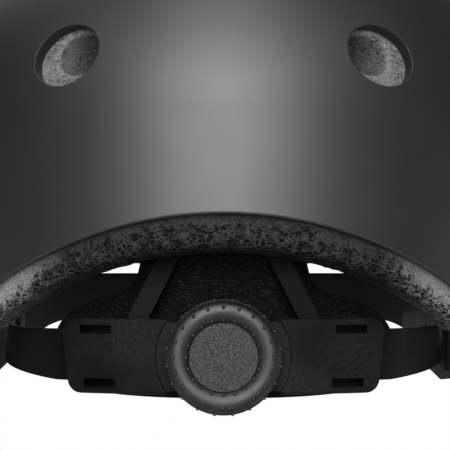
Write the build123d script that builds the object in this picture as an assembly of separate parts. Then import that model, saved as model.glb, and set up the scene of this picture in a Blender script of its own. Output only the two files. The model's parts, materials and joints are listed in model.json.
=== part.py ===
"""Skateboard helmet with a dial fit system and a buckled chin strap.

Millimetres, +Z up, +Y is the way the wearer looks and +X is the right-hand side seen from
behind. The origin is the middle of the head: on the plane of symmetry, level with the middle
of the shell's rear edge.
"""

from build123d import *
import math
import os

os.makedirs("parts", exist_ok=True)

# Shell: an ellipsoid dome over a nearly upright skirt, longer in front than behind.
shell_half_width = 110.0
shell_rear_length = 118.0
shell_front_length = 136.0
shell_top_height = 135.0
shell_shoulder_height = 38.0
shell_skirt_depth = 60.0
shell_draw_in = 6.0
shell_thickness = 3.0
shell_edge_round = 0.8

# Lower edge of the shell: a wide arch behind, low behind the ears, high over the brow.
rim_nape_radius = 170.0
rim_low_height = -21.0
rim_brow_height = 24.0
rim_low_share = 0.42
rim_brow_share = 0.80

# Foam liner, glued into the shell.
liner_thickness = 22.0
liner_reveal = 11.0
liner_edge_round = 5.0
bond_gap = 0.2

# Vents: ellipses cut square to the dome, each with a turned-in lip.
vent_long_radius = 13.5
vent_short_radius = 11.5
vent_lip_wall = 2.0
vent_lip_depth = 4.5
vent_foam_share = 0.66
vent_foam_shift = 2.2

# Comfort pads on round hook fasteners.
pad_thickness = 8.0
pad_standoff = 1.6
pad_corner = 8.0
soft_gap = 0.3
hook_radius = 7.0
hook_thickness = 1.2
brow_pad_length = 118.0
brow_pad_height = 30.0
brow_pad_level = 44.0
side_pad_length = 66.0
side_pad_height = 34.0
side_pad_level = 30.0
side_pad_forward = 4.0
crown_pad_length = 104.0
crown_pad_width = 78.0

# Fit cradle: bands about an upright ring axis, all tipped up towards the temples.
cradle_tilt = 7.5
cradle_drop = 45.4
ring_centre = -5.0
arm_radius = 80.0
arm_thickness = 2.4
slide_gap = 0.25
housing_wall = 2.0
housing_margin = 1.0
housing_screw_reach = 30.0
housing_screw_radius = 0.9
housing_screw_head = 1.3
cover_depth = 4.4
cover_wall = 2.0
back_wall = 1.8
cover_half_width = 57.0
cover_foot_half_width = 54.0
cover_height = 26.0
cover_corner = 5.0
cover_foot_round = 1.2
cover_crease_drop = 2.8
cover_crease_depth = 1.3
slot_length = 11.2
slot_height = 3.0
slot_upper_reach = 44.6
slot_lower_reach = 43.2
slot_level = 9.3
recess_radius = 23.5
fit_gap = 0.15

# Dial, pinion and click ring.
dial_radius = 20.0
dial_height = 9.0
dial_floor_gap = 0.6
dial_wall = 2.0
dial_web_level = 3.0
dial_hub_radius = 4.6
cap_radius = 11.85
cap_thickness = 2.6
cap_dome = 0.5
cap_gap = 0.3
pinion_teeth = 12
pinion_module = 1.0
pressure_angle = 25.0
tooth_backlash = 0.3
addendum_share = 0.8
dedendum_share = 1.05
spindle_radius = 3.2
spindle_drive_radius = 3.0
tail_radius = 2.2
running_gap = 0.05
dial_turn_range = 210.0
click_teeth = 24
click_ring_radius = 10.8
click_ring_wall = 1.6
click_ring_height = 2.4
click_tooth_depth = 0.7
click_hub_wall = 1.0
click_arm_radius = 7.0
click_arm_wall = 0.9
click_arm_sweep = 110.0
click_gap = 0.1
screw_radius = 1.4
screw_length = 7.0
screw_head_radius = 2.8
screw_head_height = 1.6
screw_slot_width = 0.7

# Arms of the cradle: a rack each inside the housing, a broad band outside it.
arm_half_height = 9.0
arm_taper_angle = 46.0
arm_tip_angle = 97.0
arm_tip_foot = -1.5
arm_tip_top = 10.5
arm_tip_round = 5.0
rack_tip_angle = 6.5
rack_gap_angle = 2.3

# Struts that hang the cradle from the liner.
strut_width = 7.2
strut_thickness = 2.2
strut_foot_reach = 34.0
strut_foot_level = 3.5
strut_waist_level = 15.0
strut_top_level = 7.0
strut_slope = 0.49
strut_foam_gap = 1.5
anchor_level = 2.0
anchor_radius = 4.2
anchor_length = 12.0
anchor_bore_radius = 2.2
anchor_flange_height = 1.2
anchor_flange_radius = 3.2

# Nape pad between the cradle and the head.
nape_pad_thickness = 7.5
nape_column_half_width = 27.3
nape_pad_top = 44.0
nape_pad_half_width = 62.0
nape_pad_foot = 15.0

# Chin strap: two legs a side on rivets, a divider, and a buckled loop on two pivots.
web_width = 18.0
web_thickness = 1.6
web_clearance = 1.2
web_room = 0.8
front_anchor_forward = 46.0
front_anchor_level = 16.0
rear_anchor_forward = -42.0
rear_anchor_level = 2.0
web_tail = 11.0
rivet_radius = 2.2
rivet_head_radius = 5.0
rivet_head_height = 1.8
rivet_washer_radius = 4.0
rivet_washer_height = 1.0
divider_inset = 15.0
divider_forward = 2.0
divider_level = -41.0
divider_height = 22.0
divider_width = 28.0
divider_thickness = 4.0
divider_corner = 4.0
divider_slot_height = 3.0
leg_spread = 6.0
pivot_radius = 1.8
pivot_head_radius = 3.4
pivot_head_height = 1.0
pivot_drop = 4.0
loop_front_forward = 92.0
loop_front_level = -3.0
loop_front_half_width = 68.0
loop_corner_radius = 26.0
loop_bend_radius = 60.0
loop_tail = 9.0
loop_straight = 16.0
chin_pad_length = 70.0
chin_pad_width = 26.0
chin_pad_thickness = 6.0
chin_pad_round = 2.5
buckle_middle = 54.0
buckle_length = 42.0
buckle_width = 26.0
buckle_thickness = 8.0
buckle_wall = 1.6
buckle_round = 1.5
socket_share = 0.62
web_pocket_depth = 6.0
tongue_width = 6.0
tab_width = 3.2
tab_head_length = 6.0
keeper_length = 5.0
keeper_wall = 1.2

# Cuts run past the faces that they open by this much.
overrun = 5.0

# The dividers keep their place under the shell's widest part.
divider_reach = shell_half_width - divider_inset


def write(name, shape):
    """Write one sub-part under its own name."""
    shape.label = name
    export_step(shape, os.path.join("parts", name + ".step"))
    print(name, len(shape.solids()), round(shape.volume, 1), shape.is_valid)


# Shell and liner


def egg(inset):
    """Everything inside the shell's outer face moved inward by inset, down to the skirt's foot."""
    half = shell_half_width - inset
    top = shell_top_height - inset
    foot = (half - shell_draw_in, -shell_skirt_depth)
    shoulder = (half, shell_shoulder_height)
    outline = Line((0, -shell_skirt_depth), foot)
    outline += TangentArc(shoulder, foot, tangent=(0, -1))
    crown = top - shell_shoulder_height
    outline += EllipticalCenterArc((0, shell_shoulder_height), half, crown, arc_size=90)
    outline += Line((0, top), (0, -shell_skirt_depth))
    profile = Plane.XZ * make_face(outline)
    rear = revolve(profile, Axis.Z, -180)
    front = revolve(profile, Axis.Z, 180)
    rear = scale(rear, by=(1, (shell_rear_length - inset) / half, 1), about=(0, 0, 0))
    front = scale(front, by=(1, (shell_front_length - inset) / half, 1), about=(0, 0, 0))
    return rear + front


def under_rim(drop):
    """What the trim of the rim takes away, with the rim lowered by drop."""
    far = shell_front_length + shell_rear_length
    low_point = (-rim_low_share * shell_rear_length, rim_low_height - drop)
    brow_point = (rim_brow_share * shell_front_length, rim_brow_height - drop)
    outline = Line((-far, rim_low_height - drop), low_point)
    outline += Spline(low_point, brow_point, tangents=((1, 0), (1, 0)))
    outline += Polyline(brow_point, (far, rim_brow_height - drop), (far, -far), (-far, -far),
                        (-far, rim_low_height - drop))
    side_cut = extrude(Plane.YZ * make_face(outline), far, both=True)
    arch = Plane.XZ * Pos(0, -rim_nape_radius - drop) * Circle(rim_nape_radius)
    return side_cut + extrude(arch, far)


def dome_place(turn, rise):
    """Place on the dome: turn is the angle from straight behind, rise the angle above its base.

    The place's Z points out of the dome and its X runs level, to the right seen from outside.
    """
    dome = shell_top_height - shell_shoulder_height
    across = math.cos(math.radians(rise)) * math.sin(math.radians(turn))
    along = -math.cos(math.radians(rise)) * math.cos(math.radians(turn))
    up = math.sin(math.radians(rise))
    length = shell_rear_length if along < 0 else shell_front_length
    point = Vector(shell_half_width * across, length * along, shell_shoulder_height + dome * up)
    normal = Vector(across / shell_half_width, along / length, up / dome).normalized()
    level = Vector(0, 0, 1).cross(normal).normalized()
    return Plane(origin=point, x_dir=level, z_dir=normal)


# Each vent: turn and rise on the dome, then the angle of its long side above the level line.
vent_rows = [
    (30.6, 12.0, -8.0),
    (80.0, 24.0, 62.0),
    (122.0, 27.0, -62.0),
    (157.0, 24.0, 32.0),
    (32.0, 56.0, -68.0),
    (148.0, 56.0, 68.0),
]


def vent_places():
    """Both sides of every row, as a place and the angle of the vent in it."""
    places = []
    for turn, rise, lean in vent_rows:
        places.append((dome_place(turn, rise), lean, -1))
        places.append((dome_place(-turn, rise), -lean, 1))
    return places


def vent_cutters(grow, share, shift, depth):
    """Elliptical bars through the dome at every vent."""
    bars = []
    for place, lean, side in vent_places():
        oval = Ellipse(vent_long_radius * share + grow, vent_short_radius * share + grow)
        oval = Pos(side * shift, shift) * Rot(0, 0, lean) * oval
        bars.append(extrude(place * Pos(0, 0, overrun) * oval, -depth - overrun))
    return bars


def rim_edges(body):
    """The edges all round the foot of a trimmed wall."""
    highest = shell_shoulder_height - overrun
    return [edge for edge in body.edges() if edge.bounding_box().max.Z < highest]


outer_body = egg(0)
inner_body = egg(shell_thickness)
lip_body = egg(vent_lip_depth)
shell = outer_body - inner_body
lips = Part() + vent_cutters(vent_lip_wall, 1, 0, liner_thickness)
shell += (outer_body - lip_body) & lips
shell -= under_rim(0)
shell = fillet(rim_edges(shell), shell_edge_round)
shell -= Part() + vent_cutters(0, 1, 0, liner_thickness)

liner_inset = shell_thickness + bond_gap
cavity_inset = liner_inset + liner_thickness
liner = egg(liner_inset) - egg(cavity_inset)
liner -= under_rim(liner_reveal)
liner = fillet(rim_edges(liner), liner_edge_round)
lip_room = Part() + vent_cutters(vent_lip_wall + bond_gap, 1, 0, liner_thickness)
liner -= (outer_body - egg(vent_lip_depth + bond_gap)) & lip_room
liner -= Part() + vent_cutters(0, vent_foam_share, vent_foam_shift, cavity_inset + overrun)


# Comfort pads and the hook fasteners under them


def lining(near, far, bars):
    """The layer between two depths inside the cavity's wall, where the bars cross it."""
    return (egg(cavity_inset + near) - egg(cavity_inset + far)) & bars


pad_near = pad_standoff
pad_far = pad_standoff + pad_thickness
brow_outline = RectangleRounded(brow_pad_length, brow_pad_height, pad_corner)
brow_bar = extrude(Plane.XZ * Pos(0, brow_pad_level) * brow_outline, -shell_front_length)
brow_pad = lining(pad_near, pad_far, brow_bar)

side_outline = RectangleRounded(side_pad_length, side_pad_height, pad_corner)
side_bar = Plane.YZ * Pos(side_pad_forward, side_pad_level) * side_outline
right_side_pad = lining(pad_near, pad_far, extrude(side_bar, shell_half_width))
left_side_pad = lining(pad_near, pad_far, extrude(side_bar, -shell_half_width))

crown_outline = RectangleRounded(crown_pad_width, crown_pad_length, pad_corner)
crown_bar = extrude(Pos(0, 0, shell_shoulder_height) * crown_outline, shell_top_height)
crown_pad = lining(pad_near, pad_far, crown_bar)

hook_gap = (pad_standoff - hook_thickness) / 2
hook_shares = (-0.32, 0, 0.32)
hook_bars = Part()
for share in hook_shares:
    dot = Circle(hook_radius)
    brow_spot = Pos(share * brow_pad_length, brow_pad_level) * dot
    hook_bars += extrude(Plane.XZ * brow_spot, -shell_front_length)
    crown_spot = Pos(0, share * crown_pad_length, shell_shoulder_height) * dot
    hook_bars += extrude(crown_spot, shell_top_height)
    side_spot = Plane.YZ * Pos(side_pad_forward + share * side_pad_length, side_pad_level) * dot
    hook_bars += extrude(side_spot, shell_half_width, both=True)
hook_dots = lining(hook_gap, hook_gap + hook_thickness, hook_bars)


# Fit cradle, in a frame of its own: the middle of the arms' band behind the head is the
# origin, X is to the right, Y forward and Z up. The ring's axis stands arm_radius in front.


cradle_origin = (0, ring_centre - arm_radius, -cradle_drop)
cradle_place = Location(cradle_origin, (cradle_tilt, 0, 0))
ring_axis = Pos(0, arm_radius, 0)
channel_half_height = arm_half_height + slide_gap
channel_near = arm_radius - arm_thickness / 2 - slide_gap
channel_far = arm_radius + arm_thickness / 2 + slide_gap
housing_far = channel_far + housing_wall
housing_half_width = cover_foot_half_width - housing_margin
housing_half_height = cover_height / 2 - housing_margin
cover_near = housing_far + fit_gap
cover_far = cover_near + cover_depth
back_far = channel_near - fit_gap
floor_step = housing_far - arm_radius
strut_wide = strut_width * math.hypot(1, strut_slope)


def ring_layer(near, far):
    """A tall pipe wall about the ring's axis, between two radii."""
    height = 2 * (nape_pad_top + cover_height)
    return ring_axis * (Cylinder(far, height) - Cylinder(near, height))


def rear_bar(outline):
    """A flat outline seen from behind, run from well behind the cradle to the ring's axis."""
    return Pos(0, arm_radius, 0) * extrude(Plane.XZ * outline, 2 * arm_radius)


def standing(outline, foot, height):
    """A flat outline seen from behind, run backward from a step behind the arms' band."""
    return extrude(Plane.XZ.offset(foot) * outline, height)


def side_gap(angle):
    """How far to the side the arms' band is at an angle about the ring's axis."""
    return arm_radius * math.sin(math.radians(angle))


def forward_gap(angle):
    """How far forward the arms' band is at an angle about the ring's axis."""
    return arm_radius * (1 - math.cos(math.radians(angle)))


def strut_bar(side, foot_level, grow):
    """The strut as a straight strip seen from behind, from foot_level up past the cover."""
    lean = strut_slope * (strut_waist_level - foot_level)
    waist = strut_foot_reach - strut_slope * (strut_waist_level - strut_foot_level)
    half = strut_wide / 2 + grow
    corners = [
        (side * (waist + lean - half), foot_level - grow),
        (side * (waist + lean + half), foot_level - grow),
        (side * (waist + half), strut_waist_level),
        (side * (waist - half), strut_waist_level),
    ]
    return rear_bar(make_face(Polyline(*corners, close=True)))


def cover_outline(inset):
    """Both covers as one outline seen from behind, a little narrower at the foot."""
    top = cover_height / 2 - inset
    wide = cover_half_width - inset
    narrow = cover_foot_half_width - inset
    corners = [(-wide, top), (wide, top), (narrow, -top), (-narrow, -top)]
    face = make_face(Polyline(*corners, close=True))
    return fillet(face.vertices(), cover_corner - inset)


def cover_ring():
    """The covers' section, creased near the top and rounded at the foot, all round the ring."""
    half = cover_height / 2
    foot = (cover_far - cover_foot_round, -half)
    turn = (cover_far, -half + cover_foot_round)
    section = Line((cover_near, -half), foot)
    section += TangentArc(foot, turn, tangent=(1, 0))
    section += Polyline(turn, (cover_far, half - cover_crease_drop),
                        (cover_far - cover_crease_depth, half), (cover_near, half),
                        (cover_near, -half))
    return ring_axis * revolve(Plane.XZ * make_face(section), Axis.Z)


def strut_notch(side, grow):
    """Room in a cover and its wall for the strut's foot."""
    pocket = ring_layer(cover_near, cover_near + strut_thickness + fit_gap)
    return pocket & strut_bar(side, strut_foot_level - grow, grow)


pocket_outline = cover_outline(cover_wall) - Circle(recess_radius + cover_wall)
covers = cover_ring() & rear_bar(cover_outline(0))
covers -= rear_bar(Circle(recess_radius))
covers -= ring_layer(cover_near, cover_far - cover_wall) & rear_bar(pocket_outline)
for side in (-1, 1):
    upper_slot = Pos(side * slot_upper_reach, slot_level) * Rectangle(slot_length, slot_height)
    lower_slot = Pos(side * slot_lower_reach, -slot_level) * Rectangle(slot_length, slot_height)
    covers -= [rear_bar(upper_slot), rear_bar(lower_slot), strut_notch(side, fit_gap)]
left_cover, right_cover = covers.solids().sort_by(Axis.X)

# Housing: a curved tray with rails above and below the arms, and a flat seat for the dial.
tray_outline = RectangleRounded(2 * housing_half_width, 2 * housing_half_height, cover_corner)
channel_outline = Rectangle(2 * cover_half_width, 2 * channel_half_height)
seat_outline = Circle(recess_radius - fit_gap) & Rectangle(cover_height * 2, 2 * housing_half_height)
housing = ring_layer(channel_near, housing_far) & rear_bar(tray_outline)
housing += standing(seat_outline, channel_far - arm_radius, housing_wall)
housing -= ring_layer(channel_near - overrun, channel_far) & rear_bar(channel_outline)
housing -= standing(Circle(spindle_radius + running_gap), 0, dial_height)

back_plate = ring_layer(back_far - back_wall, back_far) & rear_bar(tray_outline)
back_plate -= standing(Circle(tail_radius + running_gap), -2 * dial_height, 2 * dial_height)

# Small screws through the back plate into the housing's rails.
screw_level = (channel_half_height + housing_half_height) / 2
housing_screws = Part()
for across in (-1, 1):
    for up in (-1, 1):
        spot = Pos(across * housing_screw_reach, up * screw_level)
        shank_bar = rear_bar(spot * Circle(housing_screw_radius))
        head_bar = rear_bar(spot * Circle(housing_screw_head))
        bore_bar = rear_bar(spot * Circle(housing_screw_radius + running_gap))
        seat_bar = rear_bar(spot * Circle(housing_screw_head + running_gap))
        seat_near = back_far - back_wall
        seat_far = back_far - back_wall / 2
        shank = ring_layer(seat_near, channel_far) & shank_bar
        head = ring_layer(seat_near, seat_far - running_gap) & head_bar
        housing_screws += shank + head
        back_plate -= (ring_layer(seat_near, back_far) & bore_bar)
        back_plate -= (ring_layer(seat_near, seat_far) & seat_bar)
        housing -= ring_layer(channel_near, channel_far + running_gap) & bore_bar

# Pinion: involute teeth between the two racks, a journal each side and a hexagonal drive.
pitch_radius = pinion_teeth * pinion_module / 2
tip_radius = pitch_radius + addendum_share * pinion_module
root_radius = pitch_radius - dedendum_share * pinion_module
base_radius = pitch_radius * math.cos(math.radians(pressure_angle))
pitch_length = math.pi * pinion_module
tooth_thickness = (pitch_length - tooth_backlash) / 2
flank_shares = (0, 0.25, 0.5, 0.75, 1)


def involute(radius):
    """Involute function of the pressure angle at a radius."""
    angle = math.acos(base_radius / radius)
    return math.tan(angle) - angle


def pinion_outline():
    """The toothed outline: each flank as points on its involute, down to the root circle."""
    points = []
    half_at_pitch = tooth_thickness / 2 / pitch_radius + involute(pitch_radius)
    for tooth in range(pinion_teeth):
        middle = 2 * math.pi * tooth / pinion_teeth
        flank = [(root_radius, half_at_pitch)]
        for share in flank_shares:
            radius = base_radius + share * (tip_radius - base_radius)
            flank.append((radius, half_at_pitch - involute(radius)))
        for radius, half in flank:
            points.append((radius * math.cos(middle - half), radius * math.sin(middle - half)))
        for radius, half in reversed(flank):
            points.append((radius * math.cos(middle + half), radius * math.sin(middle + half)))
    return make_face(Polyline(*points, close=True))


dial_foot = floor_step + dial_floor_gap
pinion_half = arm_thickness / 2 - slide_gap
tail_step = arm_radius - back_far + back_wall
drive_outline = RegularPolygon(spindle_drive_radius, 6)
pinion = standing(pinion_outline(), -pinion_half, 2 * pinion_half)
pinion += standing(Circle(spindle_radius), pinion_half, dial_foot - pinion_half)
pinion += standing(drive_outline, dial_foot, dial_web_level)
pinion += standing(Circle(tail_radius), -tail_step, tail_step - pinion_half)
cap_foot = dial_foot + dial_web_level + dial_wall
pinion -= standing(Circle(screw_radius), cap_foot - screw_length, screw_length)

# Dial: a round-topped grip ring on a web, driven through a hexagonal socket.
dial_shares = [
    (0.65, 0.895), (0.71, 0.965), (0.78, 1.0), (0.86, 0.975), (0.93, 0.87), (0.98, 0.67), (1.0, 0.40),
]
lip_share = 0.80
skirt_share = 0.955


def dial_section():
    """Half of the dial's section: radius across, height above the dial's foot up."""
    groove = cap_radius + cap_gap
    web_top = dial_web_level + dial_wall
    crown = [(across * dial_radius, up * dial_height) for across, up in dial_shares]
    lip = (groove, lip_share * dial_height)
    foot = (skirt_share * dial_radius, 0)
    inside = foot[0] - dial_wall
    section = Polyline((0, web_top), (groove, web_top), lip)
    section += Spline(lip, *crown, tangents=((1, 1), (0, -1)))
    section += Polyline(crown[-1], foot, (inside, 0), (inside, dial_web_level),
                        (dial_hub_radius, dial_web_level), (dial_hub_radius, 0), (0, 0),
                        (0, web_top))
    return make_face(section)


def turned(section, foot):
    """A section turned about the dial's axis, its height running backward from a step."""
    return Pos(0, -foot, 0) * Rot(90, 0, 0) * revolve(Plane.XZ * section, Axis.Z)


dial_ring = turned(dial_section(), dial_foot)
socket_outline = RegularPolygon(spindle_drive_radius + running_gap, 6)
dial_ring -= standing(socket_outline, dial_foot, dial_web_level)
dial_ring -= standing(Circle(screw_radius + running_gap), dial_foot, dial_height)

cap_top = (0, cap_thickness)
cap_rim = (cap_radius, cap_thickness - cap_dome)
cap_outline = Polyline(cap_top, (0, 0), (cap_radius, 0), cap_rim)
cap_outline += TangentArc(cap_top, cap_rim, tangent=(1, 0))
dial_cap = turned(make_face(cap_outline), cap_foot)
head_room = Circle(screw_head_radius + running_gap)
dial_cap -= standing(head_room, cap_foot, screw_head_height + running_gap)

spindle_screw = standing(Circle(screw_head_radius), cap_foot, screw_head_height)
spindle_screw += standing(Circle(screw_radius), cap_foot - screw_length, screw_length)
drive_slot = Rectangle(2 * screw_head_radius, screw_slot_width)
slot_foot = cap_foot + screw_head_height / 2
spindle_screw -= standing(drive_slot, slot_foot, screw_head_height)

# Click ring on the housing and the sprung pawls under the dial.
click_step = floor_step
tooth_ring_radius = click_ring_radius - click_ring_wall
click_ring_outline = Circle(click_ring_radius) - Circle(tooth_ring_radius)
for tooth in range(click_teeth):
    spread = 360 / click_teeth
    wedge = [
        (tooth_ring_radius + fit_gap, click_tooth_depth / 2),
        (tooth_ring_radius - click_tooth_depth, 0),
        (tooth_ring_radius + fit_gap, -click_tooth_depth / 2),
    ]
    click_ring_outline += Rot(0, 0, tooth * spread) * make_face(Polyline(*wedge, close=True))
click_ring = standing(click_ring_outline, click_step, click_ring_height)

pawl_reach = tooth_ring_radius - click_tooth_depth - click_gap
spring_bore = dial_hub_radius + running_gap
arm_near = click_arm_radius - click_arm_wall / 2
arm_far = click_arm_radius + click_arm_wall / 2
spring_outline = Circle(spring_bore + click_hub_wall) - Circle(spring_bore)
sweep_outline = Circle(arm_far) - Circle(arm_near)
reach = 2 * click_ring_radius
sweep_angle = math.radians(click_arm_sweep)
sweep_corners = [(0, 0), (reach, 0), (reach, reach), (0, reach)]
sweep_corners += [(reach * math.cos(sweep_angle), reach * math.sin(sweep_angle))]
sweep_outline &= make_face(Polyline(*sweep_corners, close=True))
bridge_near = spring_bore + fit_gap
bridge = Pos((bridge_near + arm_far) / 2, click_arm_wall / 2)
sweep_outline += bridge * Rectangle(arm_far - bridge_near, click_arm_wall)
pawl_length = pawl_reach - arm_near
pawl = Rot(0, 0, click_arm_sweep) * Pos(arm_near + pawl_length / 2, -click_arm_wall / 2)
sweep_outline += pawl * Rectangle(pawl_length, click_arm_wall)
for half_turn in (0, 180):
    spring_outline += Rot(0, 0, half_turn) * sweep_outline
spring_foot = click_step + dial_floor_gap + click_gap
click_spring = standing(spring_outline, spring_foot, dial_foot + dial_web_level - spring_foot)

# Arms: each has a rack on one side of the pinion and a broad band that runs to the temple.
arm_layer = ring_layer(arm_radius - arm_thickness / 2, arm_radius + arm_thickness / 2)
turn_ratio = pitch_radius / arm_radius
arm_travel = dial_turn_range * turn_ratio
band_start = rack_tip_angle + rack_gap_angle + 2 * arm_travel
pitch_angle = math.degrees(pitch_length / arm_radius)
rack_root = pitch_radius + dedendum_share * pinion_module
rack_tip = pitch_radius - addendum_share * pinion_module
flank_slope = math.tan(math.radians(pressure_angle))


def rack_tooth():
    """One rack tooth over the pinion, seen from behind, sunk a little into its bar."""
    root = rack_root + fit_gap
    half_tip = tooth_thickness / 2 - flank_slope * (pitch_radius - rack_tip)
    half_root = tooth_thickness / 2 + flank_slope * (root - pitch_radius)
    corners = [(-half_tip, rack_tip), (half_tip, rack_tip), (half_root, root), (-half_root, root)]
    return make_face(Polyline(*corners, close=True))


def rack(up):
    """The rack of the left arm over the pinion, or with up = -1 the same rack under it."""
    start = -side_gap(band_start + rack_gap_angle)
    end = side_gap(rack_tip_angle)
    bar = Pos((start + end) / 2, (rack_root + arm_half_height) / 2)
    bar *= Rectangle(end - start, arm_half_height - rack_root)
    teeth = rear_bar(bar)
    first = math.floor(-(arm_travel + rack_tip_angle) / pitch_angle)
    last = math.floor(rack_tip_angle / pitch_angle)
    for number in range(first, last):
        turn = (number + 0.5) * pitch_angle
        teeth += ring_axis * Rot(0, 0, turn) * ring_axis.inverse() * rear_bar(rack_tooth())
    strip = arm_layer & teeth
    return strip if up > 0 else Rot(0, 180, 0) * strip


def band():
    """The broad band of the left arm, from inside the housing to its tip at the temple."""
    start = forward_gap(band_start)
    steady = forward_gap(band_start + arm_travel + rack_tip_angle)
    taper = forward_gap(arm_taper_angle)
    tip = forward_gap(arm_tip_angle)
    corners = [
        (start, -arm_half_height), (taper, -arm_half_height), (tip, arm_tip_foot),
        (tip, arm_tip_top), (steady, arm_half_height), (start, arm_half_height),
    ]
    face = make_face(Polyline(*corners, close=True))
    tip_corners = face.vertices().sort_by(Axis.X)[-2:]
    outline = fillet(tip_corners, arm_tip_round)
    return arm_layer & extrude(Plane.YZ * outline, -2 * arm_radius)


left_arm = rack(1) + band()
right_arm = rack(-1) + mirror(band(), Plane.YZ)

# Nape pad: a broad foot behind the covers and a column up between the struts.
nape_far = back_far - back_wall - soft_gap
nape_shares = [(0.97, 0.23), (0.84, 0.40), (0.53, 0.53), (0.485, 0.62)]
nape_column_top = (nape_column_half_width, nape_pad_top)
nape_side = [(across * nape_pad_half_width, up * nape_pad_top) for across, up in nape_shares]
nape_foot_corner = (nape_pad_half_width * nape_shares[1][0], -nape_pad_foot)
nape_points = [(0, -nape_pad_foot), (nape_foot_corner[0] / 2, -nape_pad_foot)]
nape_points += [(nape_foot_corner[0], -nape_pad_foot * nape_shares[1][0])]
nape_points += [(nape_pad_half_width, 0)]
nape_points += nape_side + [nape_column_top, (0, nape_pad_top)]
nape_half = make_face(Polyline(*nape_points, close=True))
nape_outline = nape_half + mirror(nape_half, Plane.YZ)
nape_pad = ring_layer(nape_far - nape_pad_thickness, nape_far) & rear_bar(nape_outline)


# Struts and their sockets in the foam


skirt_drop = shell_shoulder_height + shell_skirt_depth
skirt_bend = (skirt_drop ** 2 + shell_draw_in ** 2) / (2 * shell_draw_in)


def wall_half_width(inset, level):
    """Half the width of the upright skirt, inset from the shell's outer face, at a level."""
    drawn = skirt_bend - math.sqrt(skirt_bend ** 2 - (shell_shoulder_height - level) ** 2)
    return shell_half_width - inset - drawn


def wall_rear(inset, across, level):
    """How far behind the origin the skirt is, this far to the side."""
    stretch = (shell_rear_length - inset) / (shell_half_width - inset)
    return stretch * math.sqrt(wall_half_width(inset, level) ** 2 - across ** 2)


def wall_side(inset, forward, level):
    """How far to the side the skirt is, this far forward."""
    length = shell_rear_length if forward < 0 else shell_front_length
    stretch = (length - inset) / (shell_half_width - inset)
    return math.sqrt(wall_half_width(inset, level) ** 2 - (forward / stretch) ** 2)


def wall_turn(inset, across, forward):
    """Angle of the skirt's outward normal from straight to the side."""
    length = shell_rear_length if forward < 0 else shell_front_length
    across_share = across / (shell_half_width - inset) ** 2
    forward_share = forward / (length - inset) ** 2
    return math.degrees(math.atan2(forward_share, across_share))


def cradle_spot(across, step, up):
    """A spot given by its place on the ring, as a point of the whole helmet."""
    forward = arm_radius - math.sqrt((arm_radius + step) ** 2 - across ** 2)
    return (cradle_place * Pos(across, forward, up)).position


def level_strip(point, turn, wide, thick):
    """A flat rectangle at a point: wide along the turned X axis, thick along its Y."""
    tilt = math.radians(turn)
    place = Plane(origin=point, x_dir=(math.cos(tilt), math.sin(tilt), 0), z_dir=(0, 0, 1))
    return place * Rectangle(wide, thick)


strut_step = cover_near - arm_radius + fit_gap / 2 + strut_thickness / 2
strut_waist_reach = strut_foot_reach - strut_slope * (strut_waist_level - strut_foot_level)
strut_foot = cradle_spot(strut_foot_reach, strut_step, strut_foot_level)
strut_waist = cradle_spot(strut_waist_reach, strut_step, strut_waist_level)
strut_top_reach = strut_waist_reach - strut_slope * (strut_top_level - strut_waist.Z)
anchor_reach = strut_waist_reach - strut_slope * (anchor_level - strut_waist.Z)


def strut_turn(across, rear):
    """Turn that lays the strut flat against a round wall this far to the side."""
    return math.degrees(math.atan2(across, rear))


def strut_top_rear(across, level):
    """Depth of the strut's middle behind the origin where it lies on the foam."""
    return wall_rear(cavity_inset, across, level) - strut_foam_gap - strut_thickness / 2


def make_strut(side):
    """A flat strip from inside the cover up to the foam, with a hole for its pin."""
    top = (side * strut_top_reach, -strut_top_rear(strut_top_reach, strut_top_level))
    ring_turn = math.degrees(math.asin(strut_foot_reach / (arm_radius + strut_step)))
    waist_turn = math.degrees(math.asin(strut_waist_reach / (arm_radius + strut_step)))
    top_turn = strut_turn(strut_top_reach, -top[1])
    sections = [
        level_strip((side * strut_foot.X, strut_foot.Y, strut_foot.Z), side * ring_turn,
                    strut_wide, strut_thickness),
        level_strip((side * strut_waist.X, strut_waist.Y, strut_waist.Z), side * waist_turn,
                    strut_wide, strut_thickness),
        level_strip((*top, strut_top_level), side * top_turn, strut_wide, strut_thickness),
    ]
    return loft(sections, ruled=True)


def anchor_plane(side):
    """Place on the strut's middle at its pin, Z pointing backward into the foam."""
    rear = strut_top_rear(anchor_reach, anchor_level)
    turn = math.radians(strut_turn(anchor_reach, rear))
    point = (side * anchor_reach, -rear, anchor_level)
    return Plane(origin=point, x_dir=(side * math.cos(turn), math.sin(turn), 0),
                 z_dir=(side * math.sin(turn), -math.cos(turn), 0))


def pin_bar(side, radius, start, length):
    """A round bar along the pin's axis, from a distance behind the strut's middle."""
    return extrude(anchor_plane(side).offset(start) * Circle(radius), length)


strut_half = strut_thickness / 2
socket_start = strut_half + strut_foam_gap
socket_end = socket_start + anchor_length
struts = []
strut_pins = Part()
strut_sockets = Part()
for side in (-1, 1):
    pin_head_start = -strut_half - anchor_flange_height - fit_gap
    pin_head = pin_bar(side, anchor_flange_radius, pin_head_start, anchor_flange_height)
    pin_neck = pin_bar(side, anchor_bore_radius, pin_head_start, anchor_length)
    pin_room = pin_bar(side, anchor_bore_radius + running_gap, -anchor_length, 3 * anchor_length)
    socket_bar = pin_bar(side, anchor_radius, socket_start, anchor_length)
    strut_pins += pin_head + pin_neck
    strut_sockets += socket_bar - pin_room
    struts.append(make_strut(side) - pin_room)
    liner -= pin_bar(side, anchor_radius + bond_gap, -socket_end, 2 * socket_end + bond_gap)
left_strut, right_strut = struts


# Chin strap anchors: rivets through the shell, legs in slots of the foam, dividers below


divider_top = divider_level + divider_height / 2


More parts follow.
